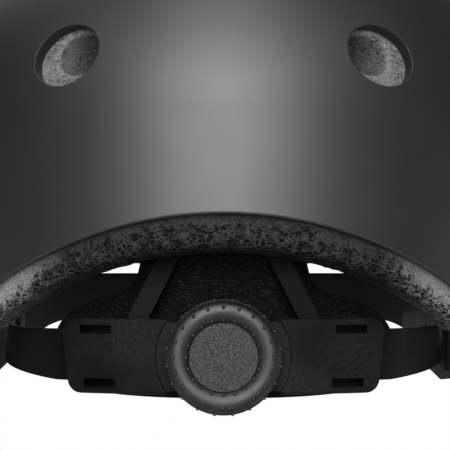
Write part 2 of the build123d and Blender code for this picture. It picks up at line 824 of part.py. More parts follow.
def leg_ends(side, forward, level):
    """The middle of a leg at its top, over the rivet, and at its foot on the divider."""
    spread = math.copysign(leg_spread, forward)
    layer = math.copysign(web_thickness / 2 + 2 * soft_gap, forward)
    foot = Vector(side * (divider_reach + layer), divider_forward + spread, divider_top + soft_gap)
    run = Vector(0, foot.Y - forward, foot.Z - level).normalized()
    top_forward = forward - run.Y * web_tail
    top_level = level - run.Z * web_tail
    reach = wall_side(shell_thickness, top_forward, top_level) - web_clearance - web_thickness / 2
    return Vector(side * reach, top_forward, top_level), foot


def leg_strip(side, forward, level, grow, outward):
    """A strip along a leg, grown all round and outward, as a straight twisted bar."""
    top, foot = leg_ends(side, forward, level)
    run = (foot - top).normalized()
    wide = (web_width + 2 * grow) / abs(run.Z)
    thick = web_thickness + 2 * grow + outward
    shift = Vector(side * outward / 2, 0, 0)
    turn = wall_turn(shell_thickness, side * top.X, top.Y)
    sections = [
        level_strip(top - run * grow + shift, side * (90 + turn), wide, thick),
        level_strip(foot + run * grow + shift, side * 90, wide, thick),
    ]
    return loft(sections, ruled=True)


def rivet_plane(side, forward, level):
    """Place on the shell's outer face at a rivet, Z pointing out."""
    across = wall_side(0, forward, level)
    turn = math.radians(wall_turn(0, across, forward))
    draw = math.asin((shell_shoulder_height - level) / skirt_bend)
    outward = Vector(side * math.cos(turn), math.sin(turn)) * math.cos(draw)
    return Plane(origin=(side * across, forward, level),
                 x_dir=(-side * math.sin(turn), math.cos(turn), 0),
                 z_dir=outward - Vector(0, 0, math.sin(draw)))


def rivet_bar(place, radius, start, length):
    """A round bar on a rivet's axis, from a depth under the shell's outer face outward."""
    return extrude(place.offset(-start) * Circle(radius), length)


leg_anchors = [
    (front_anchor_forward, front_anchor_level),
    (rear_anchor_forward, rear_anchor_level),
]
rivets = Part()
legs = {}
for side in (-1, 1):
    for forward, level in leg_anchors:
        place = rivet_plane(side, forward, level)
        top, foot = leg_ends(side, forward, level)
        run = (foot - top).normalized()
        web_depth = (place.origin - top - run * web_tail).dot(place.z_dir)
        web_back = web_depth + web_thickness / 2 + rivet_washer_radius * abs(run.dot(place.z_dir))
        washer_depth = web_back + web_clearance + rivet_washer_height
        head = rivet_bar(place, rivet_head_radius, -fit_gap, rivet_head_height)
        crown = head.edges().sort_by(Axis(place.origin, place.z_dir))[-1]
        head = fillet(crown, rivet_head_height - fit_gap)
        shank = rivet_bar(place, rivet_radius, washer_depth, washer_depth + 2 * fit_gap)
        washer = rivet_bar(place, rivet_washer_radius, washer_depth, rivet_washer_height)
        rivets += head + shank + washer
        bore = rivet_bar(place, rivet_radius + running_gap, 2 * washer_depth, 3 * washer_depth)
        washer_room = rivet_bar(place, rivet_washer_radius + soft_gap, washer_depth + soft_gap,
                                washer_depth)
        shell -= bore
        liner -= [leg_strip(side, forward, level, web_room, 2 * web_clearance), washer_room]
        legs[(side, forward)] = leg_strip(side, forward, level, 0, 0) - bore
left_front_leg = legs[(-1, front_anchor_forward)]
left_rear_leg = legs[(-1, rear_anchor_forward)]
right_front_leg = legs[(1, front_anchor_forward)]
right_rear_leg = legs[(1, rear_anchor_forward)]

# Dividers: slotted plates where the two legs of a side come together.
pivot_level = divider_level - pivot_drop
divider_outline = RectangleRounded(divider_width, divider_height, divider_corner)
divider_window = RectangleRounded(web_width + 2 * soft_gap, divider_slot_height, fit_gap)
window_rise = divider_height / 2 - divider_slot_height
divider_outline -= Pos(0, window_rise) * divider_window
divider_outline -= Pos(0, window_rise - 2 * divider_slot_height) * divider_window
divider_outline -= Pos(0, -pivot_drop) * Circle(pivot_radius + running_gap)
divider_spot = Pos(divider_forward, divider_level) * divider_outline
dividers = []
for side in (-1, 1):
    near = Plane.YZ.offset(side * (divider_reach - side * divider_thickness / 2))
    dividers.append(extrude(near * divider_spot, divider_thickness))
left_divider, right_divider = dividers

# Pivots: headed pins that hold the loop's ends on the inner faces of the dividers.
web_reach = divider_reach - divider_thickness / 2 - soft_gap - web_thickness / 2
pivot_inner = web_reach - web_thickness / 2 - soft_gap - pivot_head_height
pivot_outer = divider_reach + divider_thickness / 2 + fit_gap
pivot_spot = Pos(divider_forward, pivot_level)


def pivot_bar(side, radius, near, far):
    """A round bar along a pivot, between two distances to the side."""
    start = Plane.YZ.offset(side * near)
    return extrude(start * pivot_spot * Circle(radius), side * (far - near))


pivots = Part()
for side in (-1, 1):
    pivots += pivot_bar(side, pivot_radius, pivot_inner, pivot_outer + pivot_head_height)
    pivots += pivot_bar(side, pivot_head_radius, pivot_inner, pivot_inner + pivot_head_height)
    pivots += pivot_bar(side, pivot_head_radius, pivot_outer, pivot_outer + pivot_head_height)


# Buckled loop: drawn flat in the plane through the pivots, folded forward under the brow


pivot_point = Vector(0, divider_forward, pivot_level)
loop_front = Vector(0, loop_front_forward, loop_front_level)
loop_length = (loop_front - pivot_point).length
loop_along = (loop_front - pivot_point).normalized()
loop_plane = Plane(origin=pivot_point, x_dir=(1, 0, 0), z_dir=Vector(1, 0, 0).cross(loop_along))


def loop_side():
    """The line of the webbing from the left pivot to the middle of the front run."""
    corners = [
        (-web_reach, -loop_tail), (-web_reach, loop_straight),
        (-loop_front_half_width, loop_length), (0, loop_length),
    ]
    return FilletPolyline(*corners, radius=[loop_bend_radius, loop_corner_radius])


def webbing(line, grow):
    """Webbing on edge along a line drawn in the loop's plane."""
    ribbon = trace(line, web_thickness + 2 * grow)
    return extrude(loop_plane * ribbon, web_width / 2 + grow, both=True)


def loop_box(place, long, wide, thick, rounding):
    """A rounded block: long along a line in the loop's plane, thick in it, wide across it."""
    block = Box(long, thick, wide)
    block = fillet(block.edges().filter_by(Axis.X), rounding)
    return loop_plane * place * block


left_half = loop_side()
right_half = mirror(left_half, Plane.YZ)
whole_loop = webbing(left_half, 0) + webbing(right_half, 0)

# The buckle stands in the right-hand side of the loop, its socket towards the front.
lean = math.degrees(math.atan2(loop_length - loop_straight, loop_front_half_width - web_reach))
run_share = (buckle_middle - loop_straight) / (loop_length - loop_straight)
buckle_across = web_reach - run_share * (web_reach - loop_front_half_width)
buckle_spot = Pos(buckle_across, buckle_middle) * Rot(0, 0, lean)
socket_length = socket_share * buckle_length
plug_length = buckle_length - socket_length - fit_gap
socket_near = buckle_length / 2 - socket_length
plug_end = socket_near - fit_gap
cavity_end = buckle_length / 2 - web_pocket_depth - buckle_wall
cavity_wide = buckle_width - 2 * buckle_wall
cavity_thick = buckle_thickness - 2 * buckle_wall


def along_buckle(near, far, wide, thick):
    """A square bar between two places on the buckle's middle line."""
    return loop_plane * buckle_spot * Pos((near + far) / 2, 0) * Box(far - near, thick, wide)


socket_body = loop_box(buckle_spot * Pos(buckle_length / 2 - socket_length / 2, 0),
                       socket_length, buckle_width, buckle_thickness, buckle_round)
window_near = cavity_end - tab_head_length - 3 * soft_gap
web_slot_wide = web_width + 2 * soft_gap
web_slot_thick = web_thickness + 2 * soft_gap
pocket_near = buckle_length / 2 - web_pocket_depth
socket = socket_body - along_buckle(socket_near - overrun, cavity_end, cavity_wide, cavity_thick)
socket -= along_buckle(window_near, cavity_end, buckle_width + overrun, cavity_thick)
socket -= along_buckle(pocket_near, pocket_near + overrun + web_pocket_depth, web_slot_wide,
                       web_slot_thick)

plug = loop_box(buckle_spot * Pos(plug_end - plug_length / 2, 0), plug_length,
                buckle_width - 2 * fit_gap, buckle_thickness - 2 * fit_gap, buckle_round)
plug += along_buckle(plug_end - fit_gap, cavity_end - soft_gap, tongue_width,
                     cavity_thick - 2 * soft_gap)
plug_back = -buckle_length / 2
plug -= along_buckle(plug_back - overrun, plug_back + web_pocket_depth, web_slot_wide,
                     web_slot_thick)

# Two sprung tabs beside the plug's tongue, their heads showing in the socket's windows.
tab_far = cavity_end - 2 * soft_gap
tab_near = plug_end + 2 * fit_gap
tab_out = cavity_wide / 2 - soft_gap
tab_thick = cavity_thick - 2 * soft_gap


def make_tab(side):
    """A springy bar from the plug's shoulder with a wider head at its end."""
    arm_middle = side * (tab_out - tab_width / 2)
    head_out = buckle_width / 2 - fit_gap
    head_wide = head_out - (tab_out - tab_width)
    head_middle = side * (head_out - head_wide / 2)
    head_near = tab_far - tab_head_length
    arm = along_buckle(tab_near, tab_far, tab_width, tab_thick)
    head = along_buckle(head_near, tab_far, head_wide, tab_thick)
    offset = loop_plane.z_dir
    return Pos(offset * arm_middle) * arm + Pos(offset * head_middle) * head


upper_tab = make_tab(1)
lower_tab = make_tab(-1)

# Webbing each side of the buckle, the chin pad's sleeve and the keeper.
gap_near = plug_back + web_pocket_depth - soft_gap
gap_far = pocket_near + soft_gap
buckle_room = along_buckle(gap_near, gap_far, 2 * buckle_width, 2 * buckle_width)
loop_pieces = (whole_loop - buckle_room).solids().sort_by(Axis.X)
pivot_room = Part()
for side in (-1, 1):
    pivot_room += pivot_bar(side, pivot_radius + running_gap, pivot_inner - overrun, pivot_outer)
loop_pieces = [piece - pivot_room for piece in loop_pieces]
loop_webbing, buckle_webbing = sorted(loop_pieces, key=lambda piece: -piece.volume)

chin_pad = loop_box(Pos(0, loop_length), chin_pad_length, chin_pad_width, chin_pad_thickness,
                    chin_pad_round)
chin_pad -= webbing(left_half, soft_gap) + webbing(right_half, soft_gap)

keeper_spot = Pos(-buckle_across, buckle_middle) * Rot(0, 0, 180 - lean)
keeper_thick = web_slot_thick + 2 * keeper_wall
keeper_wide = web_slot_wide + 2 * keeper_wall
keeper = loop_box(keeper_spot, keeper_length, keeper_wide, keeper_thick, keeper_wall / 2)
keeper -= webbing(left_half, soft_gap)

# Every piece, under its own name.
cradle_pieces = {
    "cradle_housing": housing,
    "cradle_back_plate": back_plate,
    "housing_screws": housing_screws,
    "left_cover_plate": left_cover,
    "right_cover_plate": right_cover,
    "drive_pinion": pinion,
    "dial_grip_ring": dial_ring,
    "dial_cap": dial_cap,
    "spindle_screw": spindle_screw,
    "click_ring": click_ring,
    "click_spring": click_spring,
    "left_cradle_arm": left_arm,
    "right_cradle_arm": right_arm,
    "nape_pad": nape_pad,
}
helmet_pieces = {
    "outer_shell": shell,
    "foam_liner": liner,
    "brow_pad": brow_pad,
    "left_side_pad": left_side_pad,
    "right_side_pad": right_side_pad,
    "crown_pad": crown_pad,
    "hook_dots": hook_dots,
    "left_strut": left_strut,
    "right_strut": right_strut,
    "strut_pins": strut_pins,
    "strut_sockets": strut_sockets,
    "strap_rivets": rivets,
    "left_front_leg": left_front_leg,
    "left_rear_leg": left_rear_leg,
    "right_front_leg": right_front_leg,
    "right_rear_leg": right_rear_leg,
    "left_divider": left_divider,
    "right_divider": right_divider,
    "strap_pivots": pivots,
    "loop_webbing": loop_webbing,
    "buckle_webbing": buckle_webbing,
    "buckle_socket": socket,
    "buckle_plug": plug,
    "upper_release_tab": upper_tab,
    "lower_release_tab": lower_tab,
    "chin_pad": chin_pad,
    "strap_keeper": keeper,
}
for name, piece in cradle_pieces.items():
    helmet_pieces[name] = cradle_place * piece
for name, piece in helmet_pieces.items():
    write(name, piece)

# The joints' sizes, for whoever fits this part to a mechanism.
print("arm turn per degree of dial", turn_ratio, "arm travel", arm_travel)
print("ring axis through", (cradle_place * Pos(0, arm_radius, 0)).position)
print("dial axis through", cradle_place.position)
print("strap pivots", pivot_point, "loop direction", loop_along)
for tab_side in (-1, 1):
    root = Pos(tab_near, 0, tab_side * (tab_out - tab_width / 2))
    print("tab root", (loop_plane.location * buckle_spot * root).position)
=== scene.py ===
"""Looks of a skateboard helmet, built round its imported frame.

Metres, +Z up, +Y the way the wearer looks, +X to the right seen from behind. The origin is the
middle of the head.
"""

import json
import math

import bmesh
import bpy
from mathutils import Matrix, Vector
from mathutils.bvhtree import BVHTree


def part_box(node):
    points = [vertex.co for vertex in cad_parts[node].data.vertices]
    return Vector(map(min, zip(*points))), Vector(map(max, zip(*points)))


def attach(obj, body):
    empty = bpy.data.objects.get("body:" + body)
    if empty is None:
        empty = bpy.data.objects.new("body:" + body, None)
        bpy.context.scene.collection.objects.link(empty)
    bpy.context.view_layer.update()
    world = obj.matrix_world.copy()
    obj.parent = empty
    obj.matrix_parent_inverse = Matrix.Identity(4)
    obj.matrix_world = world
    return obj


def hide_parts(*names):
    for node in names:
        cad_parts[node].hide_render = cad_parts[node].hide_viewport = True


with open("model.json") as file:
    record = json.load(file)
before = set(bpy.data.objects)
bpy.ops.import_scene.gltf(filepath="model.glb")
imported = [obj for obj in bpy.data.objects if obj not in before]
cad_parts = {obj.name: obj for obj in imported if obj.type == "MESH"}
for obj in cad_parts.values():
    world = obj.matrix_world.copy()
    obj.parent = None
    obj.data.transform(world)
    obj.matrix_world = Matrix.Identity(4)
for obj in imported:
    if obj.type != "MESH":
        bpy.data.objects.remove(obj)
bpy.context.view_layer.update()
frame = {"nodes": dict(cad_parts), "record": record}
nodes = frame["nodes"]
scene = bpy.context.scene

# Form of the shell: its reach as the frame has it, the level where its dome begins, how far its
# skirt goes down and how far the skirt is drawn in there.
shell_low, shell_high = (Vector(corner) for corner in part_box("outer_shell"))
half_width = shell_high.x
rear_length = -shell_low.y
front_length = shell_high.y
top_height = shell_high.z
shoulder = 0.038
skirt_depth = 0.060
draw_in = 0.006

# Comfort pads: how deep their back and their front lie under the shell's outer face, then the
# size, corner, place and sewn channels of each.
pad_back_depth = 0.0268
pad_front_depth = 0.0348
pad_corner = 0.008
brow_pad_size = (0.118, 0.030)
brow_pad_level = 0.044
brow_channel_pitch = 0.0295
side_pad_size = (0.066, 0.034)
side_pad_forward = 0.004
side_pad_level = 0.030
crown_pad_size = (0.078, 0.104)
crown_pad_corner = 0.012
crown_channel_reach = 0.018

# Sewing of the pads: thickness of the hem, width of a channel, the share by which it pulls the
# face down, the share of the thickness at which the backing lies, and the farthest that the air
# moves the fabric.
hem_thickness = 0.0011
channel_width = 0.0030
channel_share = 0.62
backing_share = 0.02
puff_reach = 0.0016

# Half of the nape pad's outline: across and up from the dial's axis.
nape_half_outline = [
    (0.026, -0.015), (0.052, -0.0126), (0.062, 0.0), (0.0601, 0.0101),
    (0.0521, 0.0176), (0.0329, 0.0233), (0.0301, 0.0273), (0.0273, 0.044),
]

foam_voxel = 0.0015
bead_size = 0.0026
bead_strength = 1.2
bead_relief = 0.00045
bead_middle = 0.35

# Cradle: its own place, the radius of its ring and the layer of its pad.
cradle_drop = 0.0454
cradle_rear = 0.085
cradle_tilt = math.radians(7.5)
ring_radius = 0.080
nape_back_radius = 0.0763
nape_front_radius = 0.0688
cradle = Matrix.Translation((0, -cradle_rear, -cradle_drop)) @ Matrix.Rotation(cradle_tilt, 4, "X")

# Dial nubs: radius of each row and whether it stands between the others, their number in a row,
# their own radius, and how far they rise and are sunk as shares of it.
nub_rows = [(0.0130, False), (0.0173, False), (0.01955, True)]
nub_count = 20
nub_radius = 0.00070
nub_rise = 1.5
nub_sink = 0.2

# Chin strap: its webbing, its pivots, the line of the loop and the pad in front.
web_width = 0.018
web_thickness = 0.0016
divider_forward = 0.002
pivot_level = -0.045
web_reach = 0.0919
loop_tail = 0.009
loop_straight = 0.016
loop_front = Vector((0, 0.092, -0.003))
loop_front_half = 0.068
loop_corner_radius = 0.026
loop_bend_radius = 0.060
tape_step = 0.003
chin_pad_length = 0.070
chin_pad_width = 0.026
chin_pad_thickness = 0.006
chin_pad_end_share = 0.86
chin_pad_end_half = 0.0016

# Stitches: the thread, then the size and place of the sewn boxes on the legs and the loop.
stitch_length = 0.0022
stitch_gap = 0.0009
thread_radius = 0.00028
sewn_width = 0.013
leg_sewn_length = 0.010
leg_sewn_shares = (0.24, 0.78)
loop_sewn_length = 0.009
loop_sewn_along = 0.0105


# Materials


class Finish:
    """A Principled material and the texture nodes that feed it."""

    def __init__(self, name, colour, roughness, **sockets):
        self.material = bpy.data.materials.new(name)
        self.material.use_nodes = True
        self.tree = self.material.node_tree
        self.shader = self.tree.nodes["Principled BSDF"]
        self.shader.inputs["Base Color"].default_value = (*colour, 1)
        self.shader.inputs["Roughness"].default_value = roughness
        for socket, value in sockets.items():
            self.shader.inputs[socket.replace("_", " ")].default_value = value
        self.place = self.node("ShaderNodeTexCoord").outputs["Object"]
        self.normal = None

    def node(self, kind, settings=None, **inputs):
        """Adds a node; each input is a value or another node's output."""
        made = self.tree.nodes.new(kind)
        for key, value in (settings or {}).items():
            setattr(made, key, value)
        for key, value in inputs.items():
            socket = made.inputs[key.replace("_", " ")]
            self.feed(socket, value)
        return made

    def feed(self, socket, value):
        """Links an output to a socket, or sets its value."""
        if isinstance(value, bpy.types.NodeSocket):
            self.tree.links.new(value, socket)
        else:
            socket.default_value = value

    def stretched(self, scale, place=None):
        """The texture place stretched by three scales."""
        mapping = self.node("ShaderNodeMapping", Vector=place or self.place, Scale=scale)
        return mapping.outputs["Vector"]

    def noise(self, scale, detail=2.0, rough=0.5, place=None):
        """Noise at so many features per metre, from 0 to 1."""
        made = self.node("ShaderNodeTexNoise", Vector=place or self.place, Scale=scale,
                         Detail=detail, Roughness=rough)
        return made.outputs["Fac"]

    def cells(self, scale, feature, output, place=None):
        """Voronoi cells at so many per metre."""
        made = self.node("ShaderNodeTexVoronoi", {"feature": feature},
                         Vector=place or self.place, Scale=scale)
        return made.outputs[output]

    def spread(self, value, low, high, to_low=0.0, to_high=1.0):
        """A value stretched from one range to another, smoothly and clamped."""
        made = self.node("ShaderNodeMapRange", {"interpolation_type": "SMOOTHSTEP"}, Value=value)
        limits = (("From Min", low), ("From Max", high), ("To Min", to_low), ("To Max", to_high))
        for key, limit in limits:
            self.feed(made.inputs[key], limit)
        return made.outputs["Result"]

    def sum(self, operation, first, second=0.0):
        """One step of arithmetic on two values."""
        made = self.node("ShaderNodeMath", {"operation": operation})
        self.feed(made.inputs[0], first)
        self.feed(made.inputs[1], second)
        return made.outputs["Value"]

    def blend(self, share, first, second):
        """A colour between two colours."""
        made = self.node("ShaderNodeMix", {"data_type": "RGBA"})
        self.feed(made.inputs[0], share)
        for socket, colour in ((made.inputs[6], first), (made.inputs[7], second)):
            ready = isinstance(colour, bpy.types.NodeSocket)
            self.feed(socket, colour if ready else (*colour, 1))
        return made.outputs[2]

    def colour(self, source):
        """Feeds the base colour."""
        self.feed(self.shader.inputs["Base Color"], source)

    def rough(self, source):
        """Feeds the roughness."""
        self.feed(self.shader.inputs["Roughness"], source)

    def bump(self, height, distance, strength=1.0):
        """Adds relief of so many metres on top of what is there."""
        made = self.node("ShaderNodeBump", Height=height, Distance=distance, Strength=strength)
        if self.normal:
            self.feed(made.inputs["Normal"], self.normal)
        self.normal = made.outputs["Normal"]
        self.feed(self.shader.inputs["Normal"], self.normal)

    def soften(self, radius):
        """Rounds the look of sharp edges by so many metres."""
        made = self.node("ShaderNodeBevel", {"samples": 4}, Radius=radius)
        self.normal = made.outputs["Normal"]
        self.feed(self.shader.inputs["Normal"], self.normal)


def grey(level):
    """A neutral colour."""
    return (level, level, level)


def shell_finish():
    """Matt black shell with a soft sheen and a very fine moulded grain."""
    look = Finish("shell_plastic", grey(0.002), 0.51, IOR=1.6, Specular_IOR_Level=0.52)
    look.soften(0.0005)
    cloud = look.noise(18, 3)
    look.colour(look.blend(cloud, grey(0.0016), grey(0.0024)))
    look.rough(look.spread(look.noise(60, 4), 0.3, 0.7, 0.50, 0.52))
    look.bump(look.noise(2600, 3, 0.6), 0.00004, 0.25)
    return look.material


def foam_finish():
    """Grey expanded beads: dark pressed cells with paler walls, under a cracked paler skin; painted
    light makes walls and skin lighter towards the sides, and the skin also higher up.
    """
    look = Finish("liner_foam", grey(0.03), 0.75, Specular_IOR_Level=0.06)
    bead_count = 740
    sway = look.node("ShaderNodeTexNoise", Vector=look.place, Scale=420.0, Detail=2.0)
    swayed = look.node("ShaderNodeMix", {"data_type": "VECTOR", "factor_mode": "UNIFORM"})
    look.feed(swayed.inputs[0], 0.0018)
    look.feed(swayed.inputs[4], look.place)
    look.feed(swayed.inputs[5], sway.outputs["Color"])
    cell_place = look.stretched((0.68, 0.68, 1.12), swayed.outputs[1])
    edge = look.cells(bead_count, "DISTANCE_TO_EDGE", "Distance", cell_place)
    tone = look.cells(bead_count, "F1", "Color", cell_place)
    tone = look.node("ShaderNodeSeparateColor", Color=tone).outputs[0]
    wall = look.spread(edge, 0.0, 0.20, 1.0, 0.0)
    patch = look.spread(look.noise(300, 3, 0.6), 0.34, 0.62)
    wall = look.sum("MULTIPLY", wall, look.spread(patch, 0.0, 1.0, 0.25, 1.0))
    cell = look.blend(look.spread(tone, 0.5, 1.0), grey(0.0015), grey(0.012))
    split = look.node("ShaderNodeSeparateXYZ", Vector=look.place)
    # How far towards the side: widens the skin band there and drives the painted side light.
    aside = look.spread(look.sum("ABSOLUTE", split.outputs["X"]), 0.052, 0.082)
    # How high up: widens the skin band and its cracks, and adds some painted light.
    raised = look.spread(split.outputs["Z"], 0.02, 0.04)
    # Painted light: the bead walls turn much paler towards the sides.
    honeycomb = look.blend(wall, cell, look.blend(aside, grey(0.030), grey(0.26)))
    speckle = look.spread(look.noise(1500, 4, 0.75), 0.32, 0.68)
    # Painted light: the skin is paler towards the sides and, less so, higher up.
    painted_light_share = look.sum("MAXIMUM", aside, look.sum("MULTIPLY", raised, 0.45))
    skin = look.blend(speckle, look.blend(painted_light_share, grey(0.008), grey(0.090)),
                      look.blend(painted_light_share, grey(0.032), grey(0.30)))
    crack_place = look.stretched((200, 200, 700))
    crack = look.noise(1.0, 5, 0.65, crack_place)
    crack = look.sum("ABSOLUTE", look.sum("SUBTRACT", crack, 0.5))
    crack = look.spread(crack, 0.0, look.spread(raised, 0.0, 1.0, 0.018, 0.034), 1.0, 0.0)
    crack = look.sum("MULTIPLY", crack, look.spread(look.noise(120, 2), 0.42, 0.56))
    pit = look.spread(look.noise(800, 3, 0.6), 0.64, 0.70)
    skin = look.blend(look.sum("MAXIMUM", crack, pit), skin, grey(0.006))
    reveal = look.node("ShaderNodeAttribute", {"attribute_name": "reveal"}).outputs["Fac"]
    reach = look.spread(aside, 0.0, 1.0, 0.0030, 0.0065)
    ragged = look.spread(look.noise(240, 4, 0.65), 0.25, 0.75, -0.0026, 0.0026)
    reach = look.sum("ADD", reach, look.sum("MULTIPLY", raised, 0.02))
    past = look.sum("ADD", look.sum("SUBTRACT", reveal, reach), ragged)
    skinned = look.spread(past, -0.0008, 0.0008, 1.0, 0.0)
    look.colour(look.blend(skinned, honeycomb, skin))
    deep = look.sum("ADD", look.spread(edge, 0.0, 0.35), look.sum("MULTIPLY", tone, 0.5))
    open_deep = look.sum("MULTIPLY", deep, look.spread(skinned, 0.0, 1.0, 1.0, 0.1))
    look.bump(look.sum("SUBTRACT", 1.0, open_deep), 0.00045, 0.7)
    look.bump(speckle, 0.00010, 0.5)
    return look.material


def fabric_finish(name, level, across, along):
    """Brushed knit: streaked pile with stray pale fibres."""
    look = Finish(name, grey(level), 0.9, Specular_IOR_Level=0.05, Sheen_Weight=0.01,
                  Sheen_Roughness=0.45)
    streaks = look.noise(1.0, 4, 0.65, look.stretched((across, across, along)))
    fibres = look.noise(1.0, 2, 0.7, look.stretched((across * 1.1, across * 1.1, along * 1.5)))
    stray = look.spread(fibres, 0.46, 0.72)
    body = look.blend(streaks, grey(level * 0.45), grey(level * 1.7))
    look.colour(look.blend(stray, body, grey(level * 9)))
    look.bump(look.sum("ADD", streaks, fibres), 0.0005, 0.7)
    return look.material


def webbing_finish():
    """Plain woven webbing: ribs across the tape, yarns along it."""
    look = Finish("webbing", grey(0.010), 0.72, Specular_IOR_Level=0.2, Sheen_Weight=0.03,
                  Sheen_Roughness=0.5)
    uv = look.node("ShaderNodeUVMap", {"uv_map": "tape"}).outputs["UV"]
    split = look.node("ShaderNodeSeparateXYZ", Vector=uv)
    rib_pitch = 0.0011
    yarn_pitch = 0.0015
    row = look.sum("DIVIDE", split.outputs["X"], rib_pitch)
    shift = look.sum("MULTIPLY", look.sum("FLOOR", row), 0.5)
    yarn = look.sum("ADD", look.sum("DIVIDE", split.outputs["Y"], yarn_pitch), shift)
    rib = look.sum("ABSOLUTE", look.sum("SINE", look.sum("MULTIPLY", row, math.pi)))
    strand = look.sum("ABSOLUTE", look.sum("SINE", look.sum("MULTIPLY", yarn, math.pi)))
    weave = look.sum("MULTIPLY", rib, look.spread(strand, 0.0, 1.0, 0.35, 1.0))
    fuzz = look.noise(4200, 2, 0.6)
    look.colour(look.blend(look.sum("MULTIPLY", weave, fuzz), grey(0.003), grey(0.022)))
    look.bump(weave, 0.00035, 0.8)
    look.bump(fuzz, 0.0001, 0.3)
    return look.material


def thread_finish():
    """Twisted sewing thread."""
    look = Finish("thread", grey(0.03), 0.6, Sheen_Weight=0.2)
    twist = look.noise(5200, 1, 0.5)
    look.colour(look.blend(twist, grey(0.02), grey(0.06)))
    look.bump(twist, 0.0001, 0.4)
    return look.material


def plastic_finish(name, level, roughness, shine=0.5, grain=0.3, edge=0.0003):
    """Moulded black plastic with a faint mottle and softened edges."""
    look = Finish(name, grey(level), roughness, Specular_IOR_Level=shine)
    look.soften(edge)
    cloud = look.spread(look.noise(26, 2), 0.35, 0.65)
    mottle = look.sum("MULTIPLY", look.spread(look.noise(1500, 4, 0.75), 0.35, 0.65), cloud)
    look.colour(look.blend(mottle, grey(level * 0.5), grey(level * 2.0)))
    wear = look.noise(90, 3, 0.6)
    look.rough(look.spread(wear, 0.3, 0.7, roughness - 0.05, roughness + 0.05))
    look.bump(look.noise(2400, 3, 0.6), 0.00005, grain)
    return look.material


def cap_finish():
    """Spark-eroded texture of the dial's cap."""
    look = Finish("cap_plastic", grey(0.03), 0.60, Specular_IOR_Level=0.2)
    look.soften(0.0002)
    coarse = look.noise(1400, 3, 0.7)
    fine = look.noise(4200, 2, 0.7)
    mix = look.sum("ADD", look.sum("MULTIPLY", coarse, 0.65), look.sum("MULTIPLY", fine, 0.35))
    look.colour(look.blend(look.spread(mix, 0.36, 0.64), grey(0.002), grey(0.046)))
    look.bump(fine, 0.00022, 0.8)
    return look.material


def metal_finish(name, level, roughness):
    """Turned metal with fine rings of tool marks."""
    look = Finish(name, grey(level), roughness, Metallic=1.0)
    look.soften(0.00015)
    marks = look.noise(1.0, 3, 0.6, look.stretched((400, 5200, 400)))
    look.rough(look.spread(marks, 0.3, 0.7, roughness - 0.06, roughness + 0.08))
    look.bump(marks, 0.00003, 0.3)
    return look.material


def painted_metal_finish():
    """Black painted rivets and pins."""
    look = Finish("black_metal", grey(0.02), 0.34, Specular_IOR_Level=0.6)
    look.soften(0.0003)
    chips = look.spread(look.noise(700, 4, 0.7), 0.72, 0.78)
    look.colour(look.blend(chips, grey(0.018), grey(0.11)))
    look.bump(look.noise(1500, 3, 0.6), 0.00006, 0.3)
    return look.material


def gear_finish():
    """Natural acetal, slightly waxy."""
    look = Finish("gear_plastic", (0.62, 0.61, 0.57), 0.35)
    look.soften(0.0001)
    cloud = look.noise(220, 3)
    look.colour(look.blend(cloud, (0.56, 0.55, 0.51), (0.68, 0.67, 0.63)))
    look.bump(look.noise(2600, 2), 0.00004, 0.25)
    return look.material


finishes = {
    "shell_plastic": shell_finish(),
    "liner_foam": foam_finish(),
    "pad_fabric": fabric_finish("pad_fabric", 0.0014, 620, 1500),
    "hook_tape": fabric_finish("hook_tape", 0.008, 1800, 1800),
    "frame_plastic": plastic_finish("frame_plastic", 0.0035, 0.48, 0.07),
    "cover_plastic": plastic_finish("cover_plastic", 0.0060, 0.46, 0.07, 0.5, 0.0004),
    "dial_plastic": plastic_finish("dial_plastic", 0.0035, 0.50, 0.45, 0.2, 0.0008),
    "cap_plastic": cap_finish(),
    "gear_plastic": gear_finish(),
    "steel": metal_finish("steel", 0.55, 0.28),
    "black_metal": painted_metal_finish(),
    "webbing": webbing_finish(),
    "buckle_plastic": plastic_finish("buckle_plastic", 0.008, 0.36, 0.4, 0.2, 0.0005),
}
thread = thread_finish()


# Meshes


def piece(name, points, faces, look, body, tape=None):
    """A smooth mesh object that rides on a body; tape holds a place along and across per point."""
    mesh = bpy.data.meshes.new(name)
    mesh.from_pydata([tuple(point) for point in points], [], faces)
    mesh.validate()
    made = bpy.data.objects.new(name, mesh)
    scene.collection.objects.link(made)
    if tape:
        layer = mesh.uv_layers.new(name="tape")
        for loop in mesh.loops:
            layer.data[loop.index].uv = tape[loop.vertex_index]
    mesh.materials.append(look)
    mesh.shade_smooth()
    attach(made, body)
    return made


def ring_faces(rows, steps):
    """Quads between rows of so many points, each row a closed ring."""
    faces = []
    for row in range(rows - 1):
        for step in range(steps):
            after = (step + 1) % steps
            low, high = row * steps, (row + 1) * steps
            faces.append((low + step, low + after, high + after, high + step))
    return faces


def puff(made, held, reach):
    """Blows a closed fabric form up with air; held points stay and none moves beyond reach."""
    frames = 20
    group = made.vertex_groups.new(name="held")
    group.add(held, 1.0, "REPLACE")
    start = [vertex.co.copy() for vertex in made.data.vertices]
    air = made.modifiers.new("air", "CLOTH")
    air.settings.vertex_group_mass = "held"
    air.settings.use_pressure = True
    air.settings.uniform_pressure_force = 4.0
    air.settings.effector_weights.gravity = 0
    air.settings.quality = 6
    air.settings.mass = 0.15
    air.point_cache.frame_end = frames
    for number in range(1, frames + 1):
        scene.frame_set(number)
    ready = made.evaluated_get(bpy.context.evaluated_depsgraph_get())
    blown = [vertex.co.copy() for vertex in ready.data.vertices]
    made.modifiers.remove(air)
    made.vertex_groups.remove(group)
    for vertex, old, new in zip(made.data.vertices, start, blown):
        move = new - old
        if move.length > reach:
            move *= reach / move.length
        vertex.co = old + move
    scene.frame_set(1)


def rounder(made):
    """Adds one step of subdivision surface."""
    smooth = made.modifiers.new("rounder", "SUBSURF")
    smooth.levels = 1
    smooth.render_levels = 1


# Pads


